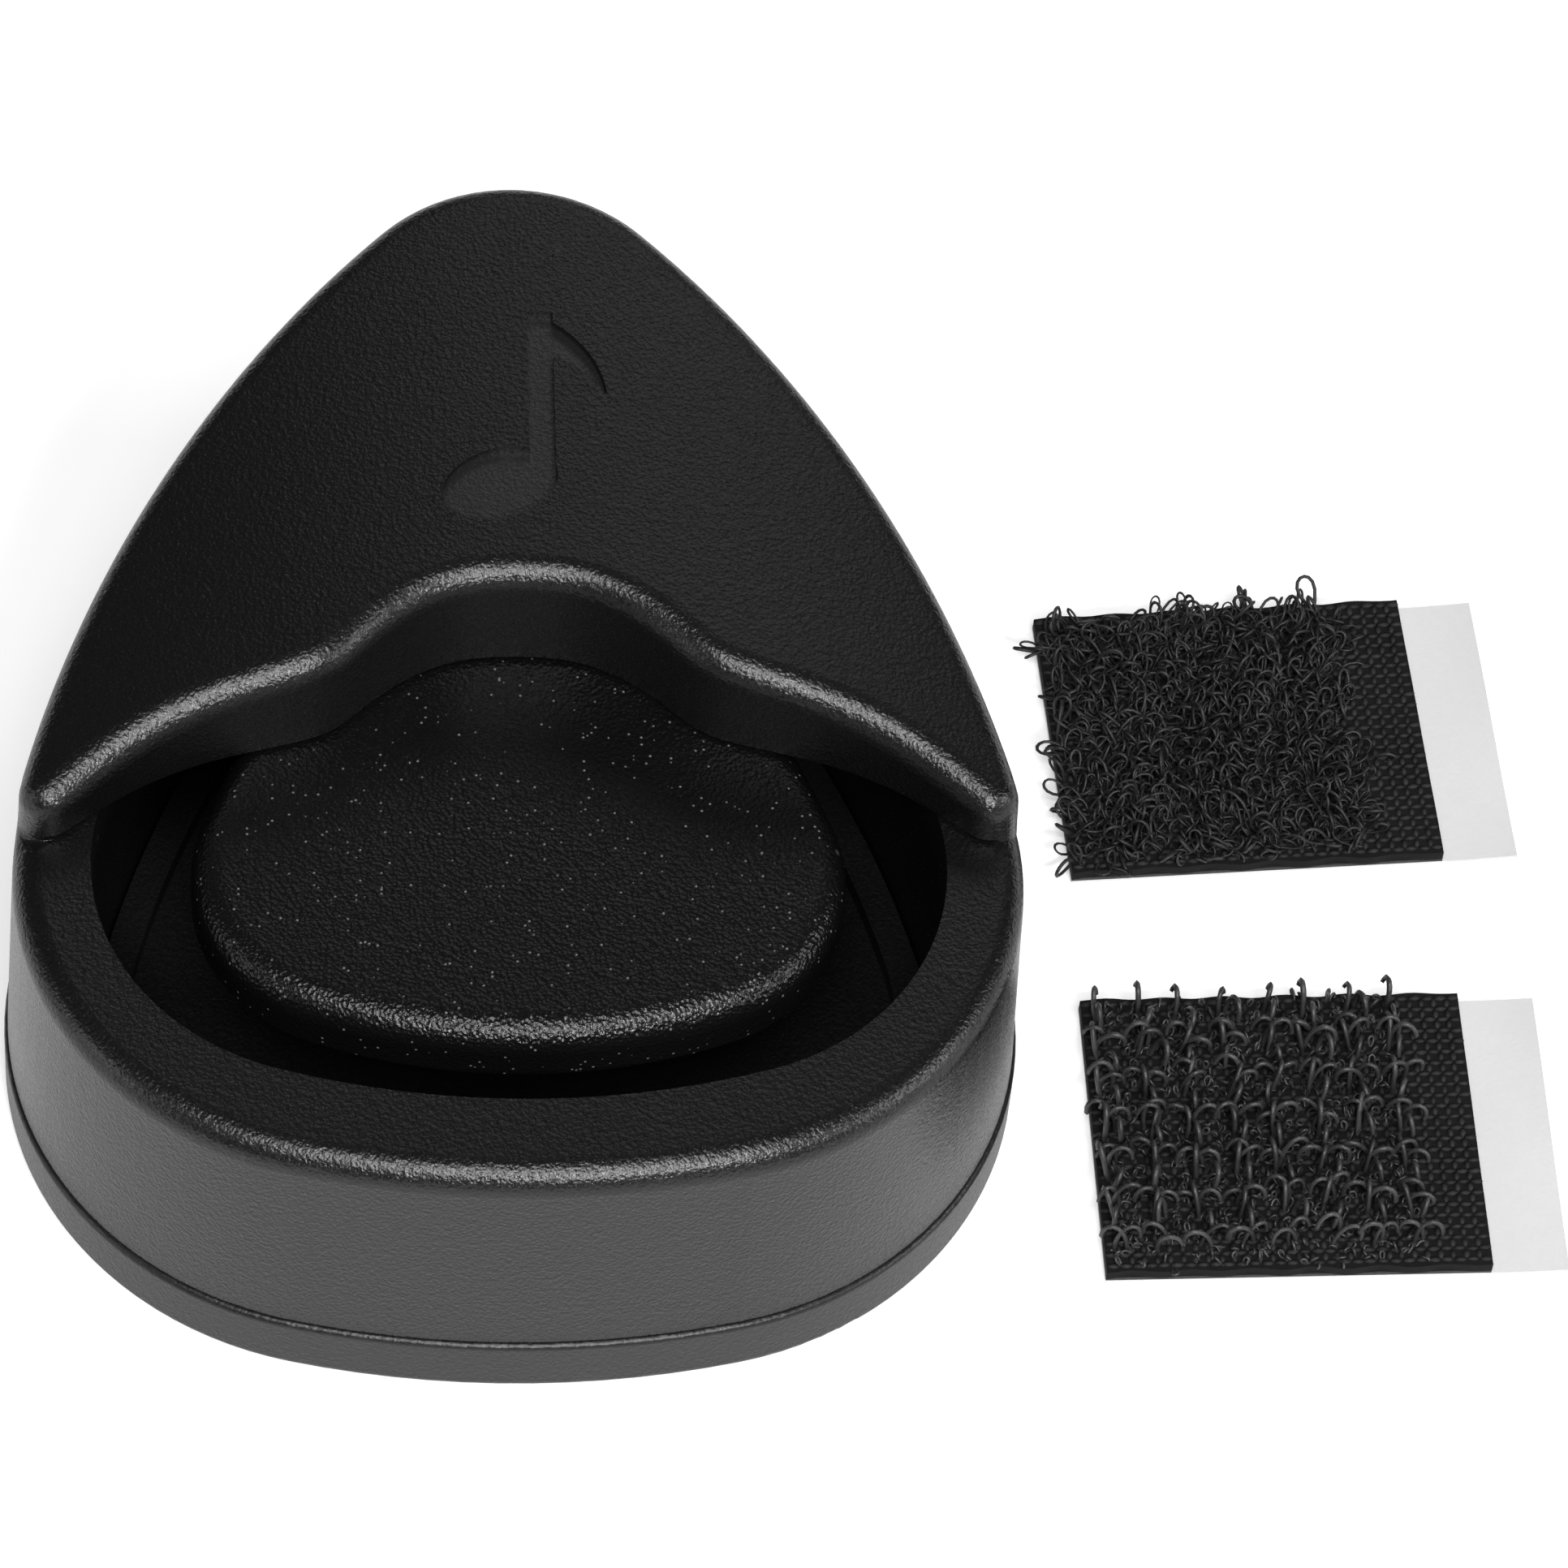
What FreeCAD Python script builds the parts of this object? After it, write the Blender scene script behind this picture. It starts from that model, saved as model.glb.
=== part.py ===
import FreeCAD, Part
import math
import os

os.makedirs("parts", exist_ok=True)
V = FreeCAD.Vector

# Frame: millimetres, +Z up, the front of the holder towards -Y.
# The origin is on the underside of the base plate, on the axis of the follower's guide.

FAR = 60.0               # reach of the shapes used only for cutting
SUNK = 0.5               # how far two fused shapes reach into each other

# ---- the moulded shell ----
WIDEST_Y = -6.3          # the line across the shell at its widest
RIM_Z = 12.3             # top of the open front wall
CROWN_Z = 17.1           # highest line of the hood
CROWN_R = 50.0           # the hood is arched across the shell
DRAFT = 0.38             # how much wider the walls are at the bottom
OUTER = dict(half_width=17.25, shoulder_r=12.4, front=12.95, side_r=46.0, tip_r=6.7, tip_y=19.7)
CAVITY = dict(half_width=14.6, shoulder_r=8.8, front=9.65, side_r=43.4, tip_r=4.1, tip_y=19.7)
EDGE_R = 1.0             # rounding of the rim and of the hood
GROOVE = (0.5, 0.2)      # depth and height of the shadow line where the hood stands on the rim
ROOF_Z = RIM_Z           # underside of the hood, which the picks press on
ROOF_T = 2.0             # thickness left over the pockets in the hood
LAND = 1.6               # band left round the pockets in the hood
RIB_T = 1.4              # rib between the two pockets
HOOD_LINE = [
    (0.0, 8.55), (2.0, 8.35), (3.7, 7.6), (5.1, 6.5), (6.4, 5.35),
    (7.8, 4.8), (10.6, 4.0), (13.2, 2.75), (15.6, 0.95), (18.2, -1.2),
]

# ---- the engraved note on the hood ----
NOTE_AT = (-0.6, 6.3)    # middle of the note's head; the rest is measured from there
NOTE_DEPTH = 0.35
NOTE_HEAD = (2.1, 1.5)   # half length and half width
NOTE_TILT = 25.0
NOTE_STEM = (0.9, 7.2)   # width and length
NOTE_STEM_AT = (1.5, 4.0)
FLAG_OVER = [(1.05, 7.6), (3.0, 6.1), (3.8, 4.0)]
FLAG_UNDER = [(3.8, 4.0), (2.65, 5.2), (1.05, 6.1)]

# ---- the base plate ----
PLATE_T = 2.6
PLATE_LEDGE = 0.12       # how far the plate stands out past the shell
PLATE_EDGE_R = 0.4
SEAM_R = 0.22            # both edges at the seam are eased, which leaves a fine groove
LIP_T = 1.1
LIP_H = 0.8
LIP_GAP = 0.08
SEAT_IN_R = 5.65         # low ring that keeps the spring in place
SEAT_OUT_R = 6.55
SEAT_H = 0.8
SOCKET_R = 3.8
SOCKET_TOP_Z = 6.7
SOCKET_FLOOR_Z = 0.9
KEY_GAP = 0.07

# ---- the follower that lifts the picks ----
TRAVEL = 4.0
STOP_GAP = 0.02
PAD = dict(half_width=11.2, shoulder_r=6.3, front=7.2, side_r=60.0, tip_r=6.0, tip_y=10.5)
PAD_T = 2.2
PAD_SKIN = 1.3
PAD_WALL = 1.4
PAD_EDGE_R = 1.1
KEY = 3.4                # width across the flats of the square guide post
KEY_EDGE_R = 0.4
POST_GAP = 0.1           # left under the post when the follower is pressed right down
COLLAR_IN_R = 4.0
COLLAR_OUT_R = 4.75
COLLAR_H = 1.1

# ---- the spring ----
WIRE = 0.55
SPRING_R = 5.2           # to the middle of the wire
SPRING_TURNS = 5.5

# ---- the two pieces of hook-and-loop tape, lying beside the holder ----
TAPE = (13.5, 11.4)      # along X and Y
LINER_PAST = 2.75        # how far the liner shows past the woven edge
LINER_T = 0.12
GLUE_T = 0.15
CLOTH_T = 0.4
PILE_T = 1.2             # height of the loops and hooks over the cloth
PILE_INSET = 0.3         # the loops and hooks stop this short of the cut edges
SELVAGE = 2.4            # plain woven band along the cloth's right edge
LOOP_AT = (26.7, 7.65)
LOOP_TURN = 4.0
HOOK_AT = (27.2, -9.55)
HOOK_TURN = 1.5


def place(radius, centre, angle):
    return V(centre[0] + radius * math.cos(angle), centre[1] + radius * math.sin(angle), 0)


def pick_outline(size, z, offset=0.0):
    """Six tangent arcs in the shape of a pick, at the height z, grown by offset."""
    shoulder_r = size["shoulder_r"]
    tip_r = size["tip_r"]
    shoulder = (size["half_width"] - shoulder_r, 0.0)
    tip = (0.0, size["tip_y"])
    front = size["front"]
    front_r = (shoulder[0] ** 2 + front ** 2 - shoulder_r ** 2) / (2 * (front - shoulder_r))
    front_c = (0.0, front_r - front)
    # the centre of the side arc is where it touches both the shoulder and the tip
    reach_a = size["side_r"] - shoulder_r
    reach_b = size["side_r"] - tip_r
    apart = math.hypot(shoulder[0] - tip[0], shoulder[1] - tip[1])
    along = (reach_a ** 2 - reach_b ** 2 + apart ** 2) / (2 * apart)
    aside = math.sqrt(reach_a ** 2 - along ** 2)
    ux = (tip[0] - shoulder[0]) / apart
    uy = (tip[1] - shoulder[1]) / apart
    side_c = (shoulder[0] + ux * along - uy * aside, shoulder[1] + uy * along + ux * aside)
    a_front = math.atan2(shoulder[1] - front_c[1], shoulder[0] - front_c[0])
    a_shoulder = math.atan2(shoulder[1] - side_c[1], shoulder[0] - side_c[0])
    a_side = math.atan2(tip[1] - side_c[1], tip[0] - side_c[0])
    right = [
        (shoulder, shoulder_r, a_front, a_shoulder),
        (side_c, size["side_r"], a_shoulder, a_side),
    ]
    middle = [
        (front_c, front_r, -math.pi - a_front, a_front),
        (tip, tip_r, a_side, math.pi - a_side),
    ]
    left = [((-c[0], c[1]), r, math.pi - b, math.pi - a) for c, r, a, b in right]
    edges = []
    for centre, radius, start, end in middle + right + left:
        points = [place(radius + offset, centre, a) for a in (start, (start + end) / 2, end)]
        edges.append(Part.Arc(*points).toShape())
    wire = Part.Wire(Part.__sortEdges__(edges))
    wire.translate(V(0, WIDEST_Y, z))
    return wire


def prism(size, low, high, offset=0.0):
    return Part.Face(pick_outline(size, low, offset)).extrude(V(0, 0, high - low))


def cylinder(radius, low, high, x=0.0, y=0.0):
    return Part.makeCylinder(radius, high - low, V(x, y, low))


def block(width, depth, low, high, x=0.0, y=0.0):
    return Part.makeBox(width, depth, high - low, V(x - width / 2, y - depth / 2, low))


def crown(lowered=0.0):
    """Everything under the arched top of the hood."""
    centre = V(0, -FAR, CROWN_Z - CROWN_R)
    round_bar = Part.makeCylinder(CROWN_R - lowered, 2 * FAR, centre, V(0, 1, 0))
    round_bar.rotate(centre, V(0, 1, 0), 180)
    return round_bar


def hood_area(low, high, back=0.0):
    """Everything behind the hood's front line, moved back by back."""
    right = [V(x, y + WIDEST_Y + back, low) for x, y in HOOD_LINE]
    left = [V(-p.x, p.y, p.z) for p in reversed(right[1:])]
    line = Part.BSplineCurve()
    line.interpolate(left + right)
    a = left[0]
    b = right[-1]
    c = V(b.x, FAR, low)
    d = V(a.x, FAR, low)
    edges = [line.toShape(), Part.makeLine(b, c), Part.makeLine(c, d), Part.makeLine(d, a)]
    return Part.Face(Part.Wire(edges)).extrude(V(0, 0, high - low))


def middle_of(edge):
    return edge.valueAt((edge.FirstParameter + edge.LastParameter) / 2)


def level_edges(shape, z):
    return [e for e in shape.Edges if abs(e.BoundBox.ZMin - z) < 0.01 and e.BoundBox.ZLength < 0.01]


def is_rounded(edge):
    """The edges of the shell that a hand touches: the front rim, the hood's top and its corners."""
    box = edge.BoundBox
    middle = middle_of(edge)
    if box.ZMin > RIM_Z + EDGE_R:
        return True
    front_rim = box.ZLength < 0.01 and abs(box.ZMin - RIM_Z) < 0.01 and middle.y < WIDEST_Y - 2
    hood_corner = box.ZMin > RIM_Z - 0.01 and box.ZLength > EDGE_R and box.XLength < 1
    return front_rim or hood_corner


def shell_body():
    draft_top = -DRAFT * (CROWN_Z - RIM_Z) / (RIM_Z - PLATE_T)
    low = pick_outline(OUTER, PLATE_T, DRAFT)
    high = pick_outline(OUTER, CROWN_Z, draft_top)
    body = Part.makeLoft([low, high], True, True).common(crown())
    open_front = block(FAR, FAR, RIM_Z, CROWN_Z + 1).cut(hood_area(RIM_Z - 1, CROWN_Z + 2))
    body = body.cut(open_front).Solids[0]
    body = body.makeFillet(EDGE_R, [e for e in body.Edges if is_rounded(e)])
    body = body.makeFillet(SEAM_R, level_edges(body, PLATE_T))
    depth, height = GROOVE
    groove = block(FAR, FAR, RIM_Z, RIM_Z + height).cut(hood_area(RIM_Z - 1, CROWN_Z, depth))
    body = body.cut(groove)
    # the groove frees a thin strip under the hood's front edge, which is dropped
    return max(body.Solids, key=lambda solid: solid.Volume)


def hood_pockets():
    """Two hollows under the hood, so that its walls are not thick, with a rib between them."""
    hollow = prism(CAVITY, ROOF_Z - 1, CROWN_Z, -LAND)
    hollow = hollow.common(hood_area(ROOF_Z - 2, CROWN_Z + 1, LAND)).common(crown(ROOF_T))
    return hollow.cut(block(RIB_T, FAR, ROOF_Z - 2, CROWN_Z + 1))


def note():
    """A plain eighth note, cut a little way into the top of the hood."""
    low = CROWN_Z - 2
    up = V(0, 0, 3)
    head = Part.Ellipse(V(0, 0, low), *NOTE_HEAD).toShape()
    head = Part.Face(Part.Wire([head])).extrude(up)
    head.rotate(V(0, 0, 0), V(0, 0, 1), NOTE_TILT)
    stem = block(*NOTE_STEM, low, low + up.z, *NOTE_STEM_AT)
    over, under = [Part.Arc(*[V(x, y, low) for x, y in line]).toShape() for line in (FLAG_OVER, FLAG_UNDER)]
    left = Part.makeLine(V(*FLAG_UNDER[-1], low), V(*FLAG_OVER[0], low))
    flag = Part.Face(Part.Wire([over, under, left])).extrude(up)
    whole = head.fuse([stem, flag]).removeSplitter()
    whole.translate(V(*NOTE_AT, 0))
    return whole.cut(crown(NOTE_DEPTH))


def housing():
    shell = shell_body()
    shell = shell.cut(prism(CAVITY, 0, ROOF_Z))
    shell = shell.cut(hood_pockets())
    return shell.cut(note())


def base_plate():
    plate = prism(OUTER, 0, PLATE_T, DRAFT + PLATE_LEDGE)
    plate = plate.makeFillet(PLATE_EDGE_R, level_edges(plate, 0))
    plate = plate.makeFillet(SEAM_R, level_edges(plate, PLATE_T))
    lip_low = PLATE_T - SUNK
    lip_high = PLATE_T + LIP_H
    lip = prism(CAVITY, lip_low, lip_high, -LIP_GAP).cut(prism(CAVITY, 0, RIM_Z, -LIP_GAP - LIP_T))
    seat_high = PLATE_T + SEAT_H
    seat = cylinder(SEAT_OUT_R, lip_low, seat_high).cut(cylinder(SEAT_IN_R, 0, RIM_Z))
    socket = cylinder(SOCKET_R, lip_low, SOCKET_TOP_Z)
    hole = KEY + 2 * KEY_GAP
    plate = plate.fuse([lip, seat, socket])
    return plate.cut(block(hole, hole, SOCKET_FLOOR_Z, SOCKET_TOP_Z + 1))


def follower():
    top = ROOF_Z - STOP_GAP
    ceiling = top - PAD_SKIN
    pad = prism(PAD, top - PAD_T, top)
    pad = pad.makeFillet(PAD_EDGE_R, level_edges(pad, top))
    pad = pad.cut(prism(PAD, top - PAD_T - 1, ceiling, -PAD_WALL))
    collar_low = ceiling - COLLAR_H
    collar = cylinder(COLLAR_OUT_R, collar_low, ceiling + SUNK)
    collar = collar.cut(cylinder(COLLAR_IN_R, 0, ceiling))
    post = block(KEY, KEY, SOCKET_FLOOR_Z + TRAVEL + POST_GAP, ceiling + SUNK)
    post = post.makeFillet(KEY_EDGE_R, [e for e in post.Edges if e.BoundBox.ZLength > 2])
    return pad.fuse([collar, post])


def follower_spring():
    low = PLATE_T + WIRE / 2
    high = ROOF_Z - STOP_GAP - PAD_SKIN - WIRE / 2
    path = Part.makeHelix((high - low) / SPRING_TURNS, high - low, SPRING_R)
    ring = Part.Wire(Part.makeCircle(WIRE / 2, V(SPRING_R, 0, 0), V(0, 1, 0)))
    coil = Part.Wire(path.Edges).makePipeShell([ring], True, True)
    coil.translate(V(0, 0, low))
    return coil


def layer(low, thickness, past=0.0, short=0.0, inset=0.0):
    """One flat layer of a tape, still square to the axes and centred on the cloth."""
    width = TAPE[0] + past - short - 2 * inset
    depth = TAPE[1] - 2 * inset
    return block(width, depth, low, low + thickness, (past - short) / 2)


def laid(shape, at, turn):
    shape.rotate(V(0, 0, 0), V(0, 0, 1), turn)
    shape.translate(V(at[0], at[1], 0))
    return shape


def tape_layers():
    cloth_low = LINER_T + GLUE_T
    pile_low = cloth_low + CLOTH_T / 2
    liner = layer(0, LINER_T, past=LINER_PAST)
    glue = layer(LINER_T, GLUE_T)
    pile = layer(pile_low, CLOTH_T / 2 + PILE_T, short=SELVAGE, inset=PILE_INSET)
    return liner, glue, layer(cloth_low, CLOTH_T).fuse(pile)


parts = {
    "housing": housing(),
    "base_plate": base_plate(),
    "follower": follower(),
    "follower_spring": follower_spring(),
}
for kind, at, turn in (("loop", LOOP_AT, LOOP_TURN), ("hook", HOOK_AT, HOOK_TURN)):
    for name, shape in zip(("liner", "adhesive", "tape"), tape_layers()):
        parts[f"{kind}_{name}"] = laid(shape, at, turn)

for name, shape in parts.items():
    shape.exportStep(f"parts/{name}.step")
    box = shape.BoundBox
    size = f"{box.XLength:.2f} x {box.YLength:.2f} x {box.ZLength:.2f}"
    print(name, shape.isValid(), len(shape.Solids), f"{shape.Volume:.1f} mm3", size)
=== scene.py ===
# %% [markdown]
# # A pocket holder for guitar picks
# This notebook dresses a finished CAD model: a black moulded shell with a half hood, a
# sprung follower and two pieces of hook-and-loop tape. The CAD gives every hard part its
# true shape, so the work here is surfaces, cloth, light and a camera. Before each step a
# few sentences say what the piece is, how it could be made and why this way was chosen.

import math
import random

import bpy
from mathutils import Matrix, Vector


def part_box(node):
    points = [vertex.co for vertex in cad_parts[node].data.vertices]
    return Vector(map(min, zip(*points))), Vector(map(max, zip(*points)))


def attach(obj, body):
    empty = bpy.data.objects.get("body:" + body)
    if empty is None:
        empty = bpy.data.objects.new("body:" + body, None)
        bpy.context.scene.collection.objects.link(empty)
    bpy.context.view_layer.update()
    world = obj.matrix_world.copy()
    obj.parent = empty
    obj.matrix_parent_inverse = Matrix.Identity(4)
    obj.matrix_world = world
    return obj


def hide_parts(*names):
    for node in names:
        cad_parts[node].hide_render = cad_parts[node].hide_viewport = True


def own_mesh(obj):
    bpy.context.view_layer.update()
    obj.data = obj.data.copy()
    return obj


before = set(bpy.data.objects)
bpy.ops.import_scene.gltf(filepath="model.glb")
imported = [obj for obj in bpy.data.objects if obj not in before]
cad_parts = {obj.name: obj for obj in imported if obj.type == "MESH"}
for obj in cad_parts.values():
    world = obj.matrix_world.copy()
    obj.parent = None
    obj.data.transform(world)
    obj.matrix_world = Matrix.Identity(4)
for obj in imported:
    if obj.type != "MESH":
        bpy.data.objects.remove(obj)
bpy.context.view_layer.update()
MM = 0.001
print("CAD nodes:", sorted(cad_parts))

# %% [markdown]
# ## Small helpers for node trees
# A node tree is a list of boxes joined by wires. It could be drawn in the editor, but a
# tree built in the script comes out the same each time and can be read from top to bottom.
# These helpers add a box, do a sum, open a new group with named sockets and stretch one
# range of values to another.


# %% Helpers for node trees
def add(tree, kind, inputs=None, **settings):
    """A new node. An input may be a plain value or the output of another node."""
    node = tree.nodes.new(kind)
    for key, value in settings.items():
        setattr(node, key, value)
    for key, value in (inputs or {}).items():
        if isinstance(value, bpy.types.NodeSocket):
            tree.links.new(value, node.inputs[key])
        else:
            node.inputs[key].default_value = value
    return node


def math_node(tree, operation, a, b=0.0):
    return add(tree, "ShaderNodeMath", {0: a, 1: b}, operation=operation).outputs[0]


def mean(tree, a, b):
    return math_node(tree, "MULTIPLY", math_node(tree, "ADD", a, b), 0.5)


def vector(tree, **parts):
    """A vector from its parts x, y and z. A part that isn't given is 0."""
    inputs = {"xyz".index(axis): value for axis, value in parts.items()}
    return add(tree, "ShaderNodeCombineXYZ", inputs).outputs[0]


def ramp(tree, value, low, high, to_low=0.0, to_high=1.0):
    inputs = {
        "Value": value, "From Min": low, "From Max": high, "To Min": to_low, "To Max": to_high,
    }
    return add(tree, "ShaderNodeMapRange", inputs, clamp=True).outputs["Result"]


def new_group(name, kind, inputs, outputs):
    """An empty group with named sockets. Each input is (name, socket type, value or None)."""
    tree = bpy.data.node_groups.new(name, kind)
    for label, socket_type, value in inputs:
        socket = tree.interface.new_socket(label, in_out="INPUT", socket_type=socket_type)
        if value is not None:
            socket.default_value = value
    for label, socket_type in outputs:
        tree.interface.new_socket(label, in_out="OUTPUT", socket_type=socket_type)
    return tree, add(tree, "NodeGroupInput").outputs, add(tree, "NodeGroupOutput").inputs


print("helpers ready")

# %% [markdown]
# ## The moulded grain
# A moulding tool leaves a skin of fine pits on plastic, which turns a sharp reflection
# into a grainy one. Real pits would take millions of faces, so the skin is only a height
# for a Bump node: rounded cells with finer noise over them. It is a shader group because
# three plastics and the glue share it, each with its own size of grain. A group gives only
# heights, masks and tones. The Principled BSDF, which makes the shine, stays in the
# material.

# %% The moulded grain
FLOAT, VECTOR = "NodeSocketFloat", "NodeSocketVector"
SHADER, GEOMETRY = "ShaderNodeTree", "GeometryNodeTree"
FINER = 1.7             # how much finer the noise is than the cells
UNEVEN_SCALE = 160.0    # slow light and dark patches, in waves per metre


def noise_texture(tree, place, scale, **inputs):
    texture = add(tree, "ShaderNodeTexNoise", {"Vector": place, "Scale": scale, **inputs})
    return texture.outputs[0]


def cell_texture(tree, place, scale, **settings):
    inputs = {"Vector": place, "Scale": scale}
    return add(tree, "ShaderNodeTexVoronoi", inputs, **settings).outputs


def moulded_grain():
    tree, given, result = new_group(
        "Moulded grain", SHADER,
        [("Place", VECTOR, None), ("Grains per mm", FLOAT, 6.0), ("Unevenness", FLOAT, 0.5)],
        [("Height", FLOAT), ("Tone", FLOAT), ("Rough", FLOAT)],
    )
    place = given["Place"]
    scale = math_node(tree, "MULTIPLY", given["Grains per mm"], 1 / MM)
    cells = cell_texture(tree, place, scale, feature="SMOOTH_F1")
    fine = noise_texture(tree, place, math_node(tree, "MULTIPLY", scale, FINER), Detail=2.0)
    tree.links.new(mean(tree, cells["Distance"], fine), result["Height"])
    slow = noise_texture(tree, place, UNEVEN_SCALE, Detail=3.0)
    swing = math_node(tree, "SUBTRACT", slow, 0.5)
    swing = math_node(tree, "MULTIPLY", swing, given["Unevenness"])
    tree.links.new(math_node(tree, "ADD", swing, 0.5), result["Tone"])
    tree.links.new(ramp(tree, fine, 0.3, 0.7), result["Rough"])
    return tree


GRAIN = moulded_grain()
print("group:", GRAIN.name)

# %% [markdown]
# ## Glints and dust
# The follower sparkles, because here and there a grain leans far enough to catch a lamp.
# A lamp small enough to do that would make harsh shadows. A few cells chosen by their
# random colour are made lighter instead. Dust is picked in the same way, with fewer and
# larger specks and a faint bloom where hands have rubbed.

# %% Glints and dust
DUST_SCALE = 900.0      # cells per metre, of which few hold a speck
DUST_SHARE = 0.03
BLOOM_SCALE = 90.0
BLOOM = 0.06            # the bloom at its strongest


def chosen_cells(tree, cells, channel, share, inner, outer):
    """Round dots in the middle of a share of the cells."""
    pick = add(tree, "ShaderNodeSeparateColor", {"Color": cells["Color"]}).outputs[channel]
    chosen = math_node(tree, "LESS_THAN", pick, share)
    dot = ramp(tree, cells["Distance"], inner, outer, 1.0, 0.0)
    return math_node(tree, "MULTIPLY", chosen, dot)


def glints():
    tree, given, result = new_group(
        "Glints", SHADER,
        [("Place", VECTOR, None), ("Cells per mm", FLOAT, 5.0), ("Share", FLOAT, 0.06)],
        [("Mask", FLOAT), ("Height", FLOAT)],
    )
    scale = math_node(tree, "MULTIPLY", given["Cells per mm"], 1 / MM)
    cells = cell_texture(tree, given["Place"], scale)
    dots = chosen_cells(tree, cells, 0, given["Share"], 0.15, 0.4)
    tree.links.new(dots, result["Mask"])
    tree.links.new(cells["Distance"], result["Height"])
    return tree


def dust():
    tree, given, result = new_group(
        "Dust", SHADER,
        [("Place", VECTOR, None), ("Amount", FLOAT, 0.5)],
        [("Mask", FLOAT)],
    )
    cells = cell_texture(tree, given["Place"], DUST_SCALE)
    specks = chosen_cells(tree, cells, 1, DUST_SHARE, 0.06, 0.14)
    cloud = noise_texture(tree, given["Place"], BLOOM_SCALE, Detail=4.0)
    haze = ramp(tree, cloud, 0.55, 0.9, 0.0, BLOOM)
    both = math_node(tree, "ADD", specks, haze)
    tree.links.new(math_node(tree, "MULTIPLY", both, given["Amount"]), result["Mask"])
    return tree


GLINTS = glints()
DUST = dust()
print("groups:", GLINTS.name, DUST.name)

# %% [markdown]
# ## The floor of the engraved note
# The note on the hood is already cut in the CAD, but black on black is hard to read. Its
# floor could be given its own faces and material, but the CAD mesh is left as it is. The
# shader finds the floor by measure: the hood is part of a cylinder, so a point that lies
# closer to the cylinder's axis than its radius, and near the note's middle, is sunk. That
# floor gets painted light: it is coloured a lighter grey than the shell so that it reads.

# %% The floor of the engraved note
SUNK_FROM, SUNK_FULL = 0.15 * MM, 0.25 * MM


def sunk_emblem():
    tree, given, result = new_group(
        "Sunk emblem", SHADER,
        [("Place", VECTOR, None), ("Arch Radius", FLOAT, 50 * MM), ("Arch Top", FLOAT, 17 * MM),
         ("Middle", VECTOR, None), ("Reach", FLOAT, 5.5 * MM)],
        [("Mask", FLOAT)],
    )
    place, radius = given["Place"], given["Arch Radius"]
    x, _, z = add(tree, "ShaderNodeSeparateXYZ", {0: place}).outputs
    axis_z = math_node(tree, "SUBTRACT", given["Arch Top"], radius)
    across = vector(tree, x=x, z=math_node(tree, "SUBTRACT", z, axis_z))
    out = add(tree, "ShaderNodeVectorMath", {0: across}, operation="LENGTH").outputs["Value"]
    sunk = ramp(tree, math_node(tree, "SUBTRACT", radius, out), SUNK_FROM, SUNK_FULL)
    away = add(tree, "ShaderNodeVectorMath", {0: place, 1: given["Middle"]}, operation="DISTANCE")
    near = math_node(tree, "LESS_THAN", away.outputs["Value"], given["Reach"])
    tree.links.new(math_node(tree, "MULTIPLY", sunk, near), result["Mask"])
    return tree


EMBLEM = sunk_emblem()
print("group:", EMBLEM.name)

# %% [markdown]
# ## Effects for thread, paper and wire
# Thread is streaky and no two threads have quite the same tone, paper has short soft
# fibres, and drawn wire has fine marks left by the die. All three are noise at different
# sizes. The random value that Blender gives each loose part of a mesh sets each thread's
# tone, which saves a material for every thread.

# %% Effects for thread, paper and wire
PAPER_CLOUD_SCALE = 260.0    # slow patches in the paper, in waves per metre


def thread_streaks():
    tree, given, result = new_group(
        "Thread streaks", SHADER,
        [("Place", VECTOR, None), ("Streaks per mm", FLOAT, 9.0)],
        [("Height", FLOAT), ("Tone", FLOAT)],
    )
    scale = math_node(tree, "MULTIPLY", given["Streaks per mm"], 1 / MM)
    streaks = noise_texture(tree, given["Place"], scale, Distortion=0.6)
    tree.links.new(streaks, result["Height"])
    each = add(tree, "ShaderNodeNewGeometry").outputs["Random Per Island"]
    tree.links.new(mean(tree, streaks, each), result["Tone"])
    return tree


def paper_fibres():
    tree, given, result = new_group(
        "Paper fibres", SHADER,
        [("Place", VECTOR, None), ("Fibres per mm", FLOAT, 3.0)],
        [("Height", FLOAT), ("Tone", FLOAT)],
    )
    scale = math_node(tree, "MULTIPLY", given["Fibres per mm"], 1 / MM)
    fibres = noise_texture(tree, given["Place"], scale, Detail=5.0, Distortion=1.5)
    cloud = noise_texture(tree, given["Place"], PAPER_CLOUD_SCALE, Detail=3.0)
    tree.links.new(fibres, result["Height"])
    tree.links.new(mean(tree, fibres, cloud), result["Tone"])
    return tree


def drawn_wire():
    tree, given, result = new_group(
        "Drawn wire", SHADER,
        [("Place", VECTOR, None), ("Rings per mm", FLOAT, 14.0)],
        [("Height", FLOAT), ("Rough", FLOAT)],
    )
    scale = math_node(tree, "MULTIPLY", given["Rings per mm"], 1 / MM)
    marks = noise_texture(tree, given["Place"], scale, Detail=2.0)
    tree.links.new(marks, result["Height"])
    tree.links.new(ramp(tree, marks, 0.3, 0.7, 0.25, 0.42), result["Rough"])
    return tree


THREAD = thread_streaks()
PAPER = paper_fibres()
WIRE = drawn_wire()
print("groups:", THREAD.name, PAPER.name, WIRE.name)

# %% [markdown]
# ## Helpers for materials
# Every material starts in the same way: a Principled BSDF and Object coordinates, so that
# the grain has the same size on each part and never slides. These helpers place an effect
# with its own values, mix two tones by a mask and turn a height into a bump.


# %% Helpers for materials
def material(name):
    """A new material, its tree, its Principled BSDF and the Object coordinates."""
    made = bpy.data.materials.new(name)
    made.use_nodes = True
    tree = made.node_tree
    place = add(tree, "ShaderNodeTexCoord").outputs["Object"]
    return made, tree, tree.nodes["Principled BSDF"], place


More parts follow.
